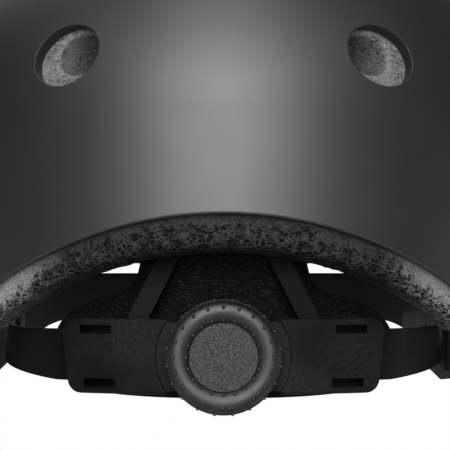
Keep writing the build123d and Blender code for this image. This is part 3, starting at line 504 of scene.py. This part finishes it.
def ring_share(depth, level):
    """How wide the dome is at a level, as a share of its width at the shoulder."""
    half = half_width - depth
    if level >= shoulder:
        crown = top_height - depth - shoulder
        return math.sqrt(max(0, 1 - ((level - shoulder) / crown) ** 2))
    drop = shoulder + skirt_depth
    bend = (drop ** 2 + draw_in ** 2) / (2 * draw_in)
    drawn = bend - math.sqrt(bend ** 2 - (shoulder - level) ** 2)
    return (half - drawn) / half


def front_spot(across, level, depth):
    """A point at the front, this far to the side and this deep under the shell's face."""
    half = half_width - depth
    share = math.sqrt(max(0, ring_share(depth, level) ** 2 - (across / half) ** 2))
    return Vector((across, (front_length - depth) * share, level))


def side_spot(side, forward, level, depth):
    """A point at one side, this far forward and this deep under the shell's face."""
    length = (rear_length if forward < 0 else front_length) - depth
    share = math.sqrt(max(0, ring_share(depth, level) ** 2 - (forward / length) ** 2))
    return Vector((side * (half_width - depth) * share, forward, level))


def crown_spot(across, forward, depth):
    """A point under the crown."""
    length = (rear_length if forward < 0 else front_length) - depth
    half = half_width - depth
    share = math.sqrt(max(0, 1 - (across / half) ** 2 - (forward / length) ** 2))
    return Vector((across, forward, shoulder + (top_height - depth - shoulder) * share))


def nape_spot(across, up, share):
    """A point of the nape pad: its share of the way from the back face to the front one."""
    radius = nape_back_radius + (nape_front_radius - nape_back_radius) * share
    local = Vector((across, ring_radius - math.sqrt(radius ** 2 - across ** 2), up))
    return cradle @ local


def rounded_outline(long, wide, corner, steps):
    """Evenly turned points of a rounded rectangle about its middle."""
    inner = (long / 2 - corner, wide / 2 - corner)
    points = []
    quarter = steps // 4
    for number in range(4):
        sign_along = 1 if number in (0, 3) else -1
        sign_up = 1 if number in (0, 1) else -1
        for step in range(quarter):
            turn = math.pi / 2 * (number + step / (quarter - 1))
            points.append((sign_along * inner[0] + corner * math.cos(turn),
                           sign_up * inner[1] + corner * math.sin(turn)))
    return spaced(points, steps)


def spaced(points, steps):
    """A closed outline walked again in so many even steps."""
    ends = points[1:] + points[:1]
    lengths = [math.dist(a, b) for a, b in zip(points, ends)]
    total = sum(lengths)
    even = []
    number, walked = 0, 0.0
    for step in range(steps):
        goal = total * step / steps
        while walked + lengths[number] < goal:
            walked += lengths[number]
            number += 1
        share = (goal - walked) / lengths[number] if lengths[number] else 0
        a, b = points[number], ends[number]
        even.append((a[0] + (b[0] - a[0]) * share, a[1] + (b[1] - a[1]) * share))
    return even


def corner_cut(points, rounds):
    """A closed outline with its corners cut again and again until it is round."""
    for _ in range(rounds):
        cut = []
        for a, b in zip(points, points[1:] + points[:1]):
            cut.append((a[0] * 0.75 + b[0] * 0.25, a[1] * 0.75 + b[1] * 0.25))
            cut.append((a[0] * 0.25 + b[0] * 0.75, a[1] * 0.25 + b[1] * 0.75))
        points = cut
    return points


def cushion(name, outline, spot, thickness, channels=(), both_sides=False):
    """A crowned pad over an outline, drawn in at its edge and sewn down along its channels.

    spot(along, up, share) gives a point, with share 0 at the pad's back and 1 at its front.
    Channels are lines across the pad: (along, up, turn in radians).
    """
    rings = 22
    steps = len(outline)
    middle = (sum(p[0] for p in outline) / steps, sum(p[1] for p in outline) / steps)
    hem = hem_thickness / thickness
    points, held = [], []
    out_and_back = [(True, ring) for ring in range(1, rings + 1)]
    out_and_back += [(False, ring) for ring in range(rings - 1, 0, -1)]

    def crown(share):
        """Height of the crown at a share of the way out from the middle."""
        return math.sqrt(max(0, 1 - share ** 7))

    def sewn(along, up):
        """How far a channel pulls the pad down here."""
        pull = 0
        for spot_along, spot_up, turn in channels:
            off = (along - spot_along) * math.sin(turn) - (up - spot_up) * math.cos(turn)
            pull = max(pull, math.exp(-((off / channel_width) ** 2)))
        return pull

    for front, ring in out_and_back:
        share = math.sin(math.pi / 2 * ring / rings)
        for a, b in outline:
            along = middle[0] + (a - middle[0]) * share
            up = middle[1] + (b - middle[1]) * share
            swell = crown(share) * (1 - channel_share * sewn(along, up))
            base = 0.5 if both_sides else hem
            if front:
                level = base + hem + (1 - base - hem) * swell
            else:
                level = base - base * crown(share) if both_sides else backing_share
            if ring == rings:
                level = base
            if ring == rings or sewn(along, up) > 0.9 or (not front and not both_sides):
                held.append(len(points))
            points.append(spot(along, up, level))
    rows = 2 * rings - 1
    faces = ring_faces(rows, steps)
    front_middle = len(points)
    points.append(spot(*middle, 1 - channel_share * sewn(*middle)))
    points.append(spot(*middle, 0.0))
    last = (rows - 1) * steps
    for step in range(steps):
        after = (step + 1) % steps
        faces.append((after, step, front_middle))
        faces.append((last + step, last + after, front_middle + 1))
    made = piece(name, points, faces, finishes["pad_fabric"], "helmet")
    return made, held


def finish_cushion(made, held, fill, *replaced):
    """Blows a cushion up, rounds it and puts it in the place of its solid."""
    tidy = bmesh.new()
    tidy.from_mesh(made.data)
    bmesh.ops.recalc_face_normals(tidy, faces=tidy.faces)
    tidy.to_mesh(made.data)
    tidy.free()
    puff(made, held, puff_reach)
    rounder(made)
    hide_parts(*replaced)


def make_pads():
    """The brow, side, crown and nape pads."""
    thick = pad_front_depth - pad_back_depth
    depth = pad_back_depth

    def brow(along, up, share):
        return front_spot(along, brow_pad_level + up, depth + thick * share)

    def crown(along, up, share):
        return crown_spot(along, up, depth + thick * share)

    upright = math.pi / 2
    channels = [(number * brow_channel_pitch, 0, upright) for number in (-1, 0, 1)]
    outline = rounded_outline(*brow_pad_size, pad_corner, 120)
    made, held = cushion("brow_cushion", outline, brow, thick, channels)
    finish_cushion(made, held, 0.7, "brow_pad")

    outline = rounded_outline(*side_pad_size, pad_corner, 96)
    for name, side in (("left", -1), ("right", 1)):
        def flank(along, up, share, side=side):
            forward = side_pad_forward + along
            return side_spot(side, forward, side_pad_level + up, depth + thick * share)
        made, held = cushion(name + "_side_cushion", outline, flank, thick, [(0, 0, upright)])
        finish_cushion(made, held, 0.7, name + "_side_pad")

    outline = rounded_outline(*crown_pad_size, crown_pad_corner, 120)
    channels = [(0, crown_channel_reach, 0), (0, -crown_channel_reach, 0)]
    made, held = cushion("crown_cushion", outline, crown, thick, channels)
    finish_cushion(made, held, 0.7, "crown_pad")

    other = [(-across, up) for across, up in reversed(nape_half_outline)]
    outline = spaced(corner_cut(nape_half_outline + other, 3), 160)
    thick = nape_back_radius - nape_front_radius
    made, held = cushion("nape_cushion", outline, nape_spot, thick, (), True)
    finish_cushion(made, held, 0.6, "nape_pad")


# Foam


def make_foam():
    """The liner as bead foam: remeshed, with each point's distance to the shell and a relief."""
    mesh = nodes["foam_liner"].data.copy()
    mesh.name = "bead_liner"
    made = bpy.data.objects.new("bead_liner", mesh)
    scene.collection.objects.link(made)
    voxels = made.modifiers.new("voxels", "REMESH")
    voxels.mode = "VOXEL"
    voxels.voxel_size = foam_voxel
    voxels.use_smooth_shade = True
    ready = made.evaluated_get(bpy.context.evaluated_depsgraph_get())
    fresh = bpy.data.meshes.new_from_object(ready)
    made.modifiers.clear()
    made.data = fresh
    made.data.materials.clear()
    made.data.materials.append(finishes["liner_foam"])
    shell = nodes["outer_shell"].data
    tree = BVHTree.FromPolygons([vertex.co for vertex in shell.vertices],
                                [tuple(face.vertices) for face in shell.polygons])
    reveal = fresh.attributes.new("reveal", "FLOAT", "POINT")
    for number, vertex in enumerate(fresh.vertices):
        reveal.data[number].value = tree.find_nearest(vertex.co)[3]
    texture = bpy.data.textures.new("beads", "VORONOI")
    texture.noise_scale = bead_size
    texture.noise_intensity = bead_strength
    relief = made.modifiers.new("beads", "DISPLACE")
    relief.texture = texture
    relief.texture_coords = "LOCAL"
    relief.strength = -bead_relief
    relief.mid_level = bead_middle
    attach(made, "helmet")
    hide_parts("foam_liner")


# Webbing


def rounded_path(corners, radii, step):
    """A flat line through corners, each rounded by its radius, as evenly spaced points."""
    line = [Vector(corners[0])]
    for before, corner, after, radius in zip(corners, corners[1:], corners[2:], radii):
        before, corner, after = Vector(before), Vector(corner), Vector(after)
        towards = (before - corner).normalized()
        away = (after - corner).normalized()
        half = towards.angle(away) / 2
        cut = radius / math.tan(half)
        middle = corner + (towards + away).normalized() * (radius / math.sin(half))
        start, end = corner + towards * cut, corner + away * cut
        count = max(2, int((start - end).length / step) + 1)
        turn = (end - middle).angle_signed(start - middle)
        for number in range(count + 1):
            angle = turn * number / count
            spoke = start - middle
            line.append(middle + Vector((spoke.x * math.cos(angle) - spoke.y * math.sin(angle),
                                         spoke.x * math.sin(angle) + spoke.y * math.cos(angle))))
    line.append(Vector(corners[-1]))
    even = [line[0]]
    for a, b in zip(line, line[1:]):
        parts = max(1, round((b - a).length / step))
        even += [a.lerp(b, part / parts) for part in range(1, parts + 1)]
    return even


tape_section = []
for end in (1, -1):
    for number in range(5):
        turn = math.pi * (number / 4 - 0.5)
        tape_section.append((end * (0.5 + 0.5 * web_thickness / web_width * (math.cos(turn) - 1)),
                             end * 0.5 * math.sin(turn)))
    for share in (0.66, 0.33, 0.0, -0.33, -0.66):
        tape_section.append((end * 0.5 * share, end * 0.5))


def tape(name, line, across, body, *replaced):
    """Webbing along points, with the direction across it at each of them."""
    points, places = [], []
    steps = len(tape_section)
    walked = 0.0
    for number, point in enumerate(line):
        before = line[max(0, number - 1)]
        after = line[min(len(line) - 1, number + 1)]
        if number:
            walked += (point - line[number - 1]).length
        along = (after - before).normalized()
        wide = (across[number] - along * across[number].dot(along)).normalized()
        out = along.cross(wide)
        for share, height in tape_section:
            points.append(point + wide * (share * web_width) + out * (height * web_thickness))
            places.append((walked, share * web_width))
    faces = ring_faces(len(line), steps)
    faces.append(tuple(range(steps)))
    faces.append(tuple(reversed(range((len(line) - 1) * steps, len(line) * steps))))
    made = piece(name, points, faces, finishes["webbing"], body, places)
    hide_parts(*replaced)


def stitches(name, body, lines, lift):
    """Rows of thread lifted off a tape's middle; each line is a start, an end and the way out."""
    points, faces = [], []
    sides, rows = 6, 5
    for start, end, out in lines:
        run = end - start
        along = run.normalized()
        count = max(1, round(run.length / (stitch_length + stitch_gap)))
        side = along.cross(out).normalized()
        for number in range(count):
            middle = start + run * ((number + 0.5) / count) + out * lift
            first = len(points)
            for row in range(rows):
                share = row / (rows - 1) * 2 - 1
                fat = thread_radius * math.sqrt(max(0.02, 1 - share ** 4))
                dip = out * (-thread_radius * 1.2 * share ** 2)
                for turn in range(sides):
                    angle = math.tau * turn / sides
                    spoke = side * math.cos(angle) + out * math.sin(angle)
                    points.append(middle + along * (share * stitch_length / 2) + dip + spoke * fat)
            faces += [tuple(first + corner for corner in face) for face in ring_faces(rows, sides)]
            faces.append(tuple(reversed(range(first, first + sides))))
            last = first + (rows - 1) * sides
            faces.append(tuple(range(last, last + sides)))
    piece(name, points, faces, thread, body)


def box_stitch(centre, along, across, out, length, width):
    """The lines of a sewn box with a cross in it."""
    a = centre - along * length / 2 - across * width / 2
    b = centre + along * length / 2 - across * width / 2
    c = centre + along * length / 2 + across * width / 2
    d = centre - along * length / 2 + across * width / 2
    return [(a, b, out), (b, c, out), (c, d, out), (d, a, out), (a, c, out), (b, d, out)]


leg_names = ["left_front_leg", "left_rear_leg", "right_front_leg", "right_rear_leg"]
same_level = 2e-5


def cap_middles(name):
    """Middles of the top and foot of a leg's solid, with the direction across each."""
    mesh = nodes[name].data
    levels = sorted({round(vertex.co.z, 5) for vertex in mesh.vertices})
    ends = []
    for level in (levels[-1], levels[0]):
        rim = [vertex.co for vertex in mesh.vertices if abs(vertex.co.z - level) < same_level]
        middle = sum(rim, Vector()) / len(rim)
        far = max(rim, key=lambda point: (point - middle).length)
        across = far - middle
        across.z = 0
        ends.append((middle, across.normalized()))
    return ends


def make_legs():
    """The four legs: straight tapes from their rivets down to the dividers, with their stitches."""
    for name in leg_names:
        (top, wide_top), (foot, wide_foot) = cap_middles(name)
        if wide_top.dot(wide_foot) < 0:
            wide_foot = -wide_foot
        count = 24
        line = [top.lerp(foot, number / count) for number in range(count + 1)]
        across = [wide_top.lerp(wide_foot, number / count) for number in range(count + 1)]
        tape(name + "_tape", line, across, "helmet", name)
        along = (foot - top).normalized()
        wide = (wide_foot - along * wide_foot.dot(along)).normalized()
        out = along.cross(wide)
        sewn = []
        for share in leg_sewn_shares:
            centre = top.lerp(foot, share)
            for face in (1, -1):
                sewn += box_stitch(centre, along, wide, out * face, leg_sewn_length, sewn_width)
        stitches(name + "_thread", "helmet", sewn, web_thickness / 2)


pivots = Vector((0, divider_forward, pivot_level))
loop_along = loop_front - pivots
loop_length = loop_along.length
loop_along.normalize()
loop_wide = Vector((1, 0, 0)).cross(loop_along)


def loop_point(flat):
    """A point of the chin loop's plane."""
    return pivots + Vector((flat[0], 0, 0)) + loop_along * flat[1]


def make_loop():
    """The chin loop's webbing, in its two stretches."""
    corners = [(-web_reach, -loop_tail), (-web_reach, loop_straight),
               (-loop_front_half, loop_length), (0, loop_length)]
    half = rounded_path(corners, (loop_bend_radius, loop_corner_radius), tape_step)
    other = [Vector((-point.x, point.y)) for point in reversed(half)]
    flat = half + other[1:]
    plug_end = max((vertex.co - pivots).dot(loop_along)
                   for vertex in nodes["buckle_webbing"].data.vertices)
    socket_end = min((vertex.co - pivots).dot(loop_along)
                     for vertex in nodes["loop_webbing"].data.vertices
                     if vertex.co.x > loop_front_half / 2)
    long_part = [point for point in flat if point.x < 0 or point.y > socket_end]
    short_part = [point for point in flat if point.x > 0 and point.y < plug_end]
    for name, part, node in (("chin_tape", long_part, "loop_webbing"),
                             ("buckle_tape", short_part, "buckle_webbing")):
        line = [loop_point(point) for point in part]
        tape(name, line, [loop_wide] * len(line), "chin_loop", node)
    sewn = []
    for side in (1, -1):
        for face in (1, -1):
            centre = loop_point((side * web_reach, loop_sewn_along))
            out = Vector((face, 0, 0))
            sewn += box_stitch(centre, loop_along, loop_wide, out, loop_sewn_length, sewn_width)
    stitches("chin_thread", "chin_loop", sewn, web_thickness / 2)


def make_chin_pad():
    """A soft sleeve round the front run of the loop."""
    rows, steps = 40, 28
    points = []
    for row in range(rows + 1):
        share = row / rows * 2 - 1
        swell = math.sqrt(max(0, 1 - abs(share) ** 9))
        wide = chin_pad_width / 2 * (chin_pad_end_share + (1 - chin_pad_end_share) * swell)
        thick = chin_pad_end_half + (chin_pad_thickness / 2 - chin_pad_end_half) * swell
        for step in range(steps):
            turn = math.tau * step / steps
            across = math.copysign(abs(math.cos(turn)) ** 0.55, math.cos(turn)) * wide
            out = math.copysign(abs(math.sin(turn)) ** 0.8, math.sin(turn)) * thick
            middle = loop_point((share * chin_pad_length / 2, loop_length))
            points.append(middle + loop_wide * across + loop_along * out)
    faces = ring_faces(rows + 1, steps)
    faces.append(tuple(reversed(range(steps))))
    faces.append(tuple(range(rows * steps, (rows + 1) * steps)))
    made = piece("chin_cushion", points, faces, finishes["pad_fabric"], "chin_loop")
    rounder(made)
    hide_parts("chin_pad")


# Dial nubs


def make_nubs():
    """Rings of small round nubs on the dial's grip."""
    ring = nodes["dial_grip_ring"]
    outward = (cradle.to_3x3() @ Vector((0, -1, 0))).normalized()
    points, faces = [], []
    rows, sides = 4, 10
    for radius, between in nub_rows:
        for number in range(nub_count):
            turn = math.tau * (number + (0.5 if between else 0.0)) / nub_count
            across = Vector((math.cos(turn), 0, math.sin(turn)))
            start = cradle @ (across * radius + Vector((0, -0.04, 0)))
            hit, place, normal, _ = ring.ray_cast(start, -outward)
            if not hit:
                continue
            side = normal.orthogonal().normalized()
            other = normal.cross(side)
            first = len(points)
            for row in range(rows):
                rise = math.pi / 2 * row / rows
                for step in range(sides):
                    angle = math.tau * step / sides
                    spoke = side * math.cos(angle) + other * math.sin(angle)
                    height = nub_rise * nub_radius * math.sin(rise) - nub_sink * nub_radius
                    points.append(place + spoke * (nub_radius * math.cos(rise)) + normal * height)
            points.append(place + normal * (nub_rise - nub_sink) * nub_radius)
            faces += [tuple(first + corner for corner in face) for face in ring_faces(rows, sides)]
            last = first + (rows - 1) * sides
            tip = first + rows * sides
            for step in range(sides):
                faces.append((last + step, last + (step + 1) % sides, tip))
            faces.append(tuple(reversed(range(first, first + sides))))
    piece("dial_nubs", points, faces, finishes["dial_plastic"], "dial")


# Studio

# Floor: its height, half its size, its grey, and how much of it is plain white to the camera, so
# that it stays pale behind the lamps.
floor_level = -0.20
floor_reach = 8.0
floor_grey = 0.45
floor_white_share = 0.75

# World: its light, and the range over which a reflection that looks ahead turns to plain white.
world_light = 0.05
white_ahead = (0.85, 0.98)

# Each lamp: its name, place, target, size, power in watts and spread in degrees.
lamps = [
    ("key", (-0.03, -1.58, 0.44), (0, -0.1, 0.03), (1.36, 1.60), 25.5, 100),
    ("over", (-0.03, -0.80, 1.50), (0, -0.05, 0.08), (0.9, 0.6), 3.4, 110),
    ("left_low", (-1.15, 0.3, -0.12), (0, -0.05, 0), (0.5, 0.12), 0.12, 100),
    ("right_low", (1.15, 0.3, -0.12), (0, -0.05, 0), (0.5, 0.12), 0.25, 100),
    ("upper_left", (-1.2, -0.5, 1.1), (0, 0, 0.06), (0.5, 0.5), 0.5, 100),
    ("upper_right", (1.2, -0.5, 1.1), (0, 0, 0.06), (0.5, 0.5), 0.3, 100),
    ("front_top", (-0.25, 0.9, 1.3), (0, 0, 0.05), (0.8, 0.8), 4, 90),
]


def softbox(name, place, target, size, power, spread):
    """A soft lamp aimed at a point, its light kept within a spread in degrees."""
    lamp = bpy.data.lights.new(name, "AREA")
    lamp.shape = "RECTANGLE"
    lamp.size, lamp.size_y = size
    lamp.energy = power
    lamp.spread = math.radians(spread)
    made = bpy.data.objects.new(name, lamp)
    scene.collection.objects.link(made)
    made.location = place
    aim = Vector(target) - Vector(place)
    made.rotation_euler = aim.to_track_quat("-Z", "Y").to_euler()


def make_studio():
    """A pale floor, a world that is white to look at, and the soft lamps."""
    corners = [(right * floor_reach, ahead * floor_reach, floor_level)
               for right, ahead in ((-1, -1), (1, -1), (1, 1), (-1, 1))]
    mesh = bpy.data.meshes.new("floor")
    mesh.from_pydata(corners, [], [(0, 1, 2, 3)])
    floor = bpy.data.objects.new("floor", mesh)
    scene.collection.objects.link(floor)
    paint = bpy.data.materials.new("floor")
    paint.use_nodes = True
    cover = paint.node_tree
    shader = cover.nodes["Principled BSDF"]
    shader.inputs["Base Color"].default_value = (*grey(floor_grey), 1)
    shader.inputs["Roughness"].default_value = 0.9
    pale = cover.nodes.new("ShaderNodeEmission")
    pale.inputs["Color"].default_value = (1, 1, 1, 1)
    looked_at = cover.nodes.new("ShaderNodeLightPath")
    part = cover.nodes.new("ShaderNodeMath")
    part.operation = "MULTIPLY"
    part.inputs[1].default_value = floor_white_share
    both = cover.nodes.new("ShaderNodeMixShader")
    cover.links.new(looked_at.outputs["Is Camera Ray"], part.inputs[0])
    cover.links.new(part.outputs[0], both.inputs[0])
    cover.links.new(shader.outputs[0], both.inputs[1])
    cover.links.new(pale.outputs[0], both.inputs[2])
    cover.links.new(both.outputs[0], cover.nodes["Material Output"].inputs["Surface"])
    mesh.materials.append(paint)

    world = bpy.data.worlds.new("studio")
    scene.world = world
    world.use_nodes = True
    tree = world.node_tree
    tree.nodes.clear()
    output = tree.nodes.new("ShaderNodeOutputWorld")
    path = tree.nodes.new("ShaderNodeLightPath")
    direction = tree.nodes.new("ShaderNodeTexCoord")
    split = tree.nodes.new("ShaderNodeSeparateXYZ")
    ahead = tree.nodes.new("ShaderNodeMapRange")
    ahead.inputs["From Min"].default_value, ahead.inputs["From Max"].default_value = white_ahead
    gloss = tree.nodes.new("ShaderNodeMath")
    gloss.operation = "MULTIPLY"
    seen = tree.nodes.new("ShaderNodeMath")
    seen.operation = "MAXIMUM"
    clear = tree.nodes.new("ShaderNodeMath")
    clear.operation = "MAXIMUM"
    lit = tree.nodes.new("ShaderNodeBackground")
    lit.inputs["Color"].default_value = (1, 1, 1, 1)
    lit.inputs["Strength"].default_value = world_light
    white = tree.nodes.new("ShaderNodeBackground")
    white.inputs["Color"].default_value = (1, 1, 1, 1)
    white.inputs["Strength"].default_value = 1.0
    mix = tree.nodes.new("ShaderNodeMixShader")
    link = tree.links.new
    link(direction.outputs["Generated"], split.inputs[0])
    link(split.outputs["Y"], ahead.inputs["Value"])
    link(path.outputs["Is Glossy Ray"], gloss.inputs[0])
    link(ahead.outputs["Result"], gloss.inputs[1])
    link(path.outputs["Is Camera Ray"], seen.inputs[0])
    link(gloss.outputs[0], seen.inputs[1])
    link(seen.outputs[0], clear.inputs[0])
    link(path.outputs["Is Transmission Ray"], clear.inputs[1])
    link(clear.outputs[0], mix.inputs[0])
    link(lit.outputs[0], mix.inputs[1])
    link(white.outputs[0], mix.inputs[2])
    link(mix.outputs[0], output.inputs["Surface"])

    for lamp in lamps:
        softbox(*lamp)


# Camera: its distance from the rim, how steeply it looks up, and where the photograph has the rim.
camera_distance = 1.0
camera_rise = math.radians(8)
photo_width = 450
sensor = 0.036
pixels_per_metre = 2965
rim_pixel = (223.5, 213)


def make_camera():
    """The photograph's view: from straight behind, looking up a little."""
    lens = bpy.data.cameras.new("camera")
    camera = bpy.data.objects.new("camera", lens)
    scene.collection.objects.link(camera)
    scene.camera = camera
    lens.sensor_width = sensor * 1000
    lens.lens = pixels_per_metre * camera_distance * sensor / photo_width * 1000
    ahead = Vector((0, math.cos(camera_rise), math.sin(camera_rise)))
    up = Vector((0, -math.sin(camera_rise), math.cos(camera_rise)))
    rim = Vector((0, -rear_length, 0))
    right_shift = (photo_width / 2 - rim_pixel[0]) / pixels_per_metre
    up_shift = (photo_width / 2 - rim_pixel[1]) / pixels_per_metre
    camera.location = rim - ahead * camera_distance - up * up_shift + Vector((right_shift, 0, 0))
    camera.rotation_euler = (math.pi / 2 + camera_rise, 0, 0)
    lens.clip_end = 50


# Everything together


slots = {entry["node"]: entry["material_slot"] for entry in frame["record"]["subparts"]}
for name, made in nodes.items():
    made.data.materials.clear()
    made.data.materials.append(finishes[slots[name]])

make_foam()
make_pads()
make_legs()
make_loop()
make_chin_pad()
make_nubs()
make_studio()
make_camera()
scene.view_settings.view_transform = "Standard"
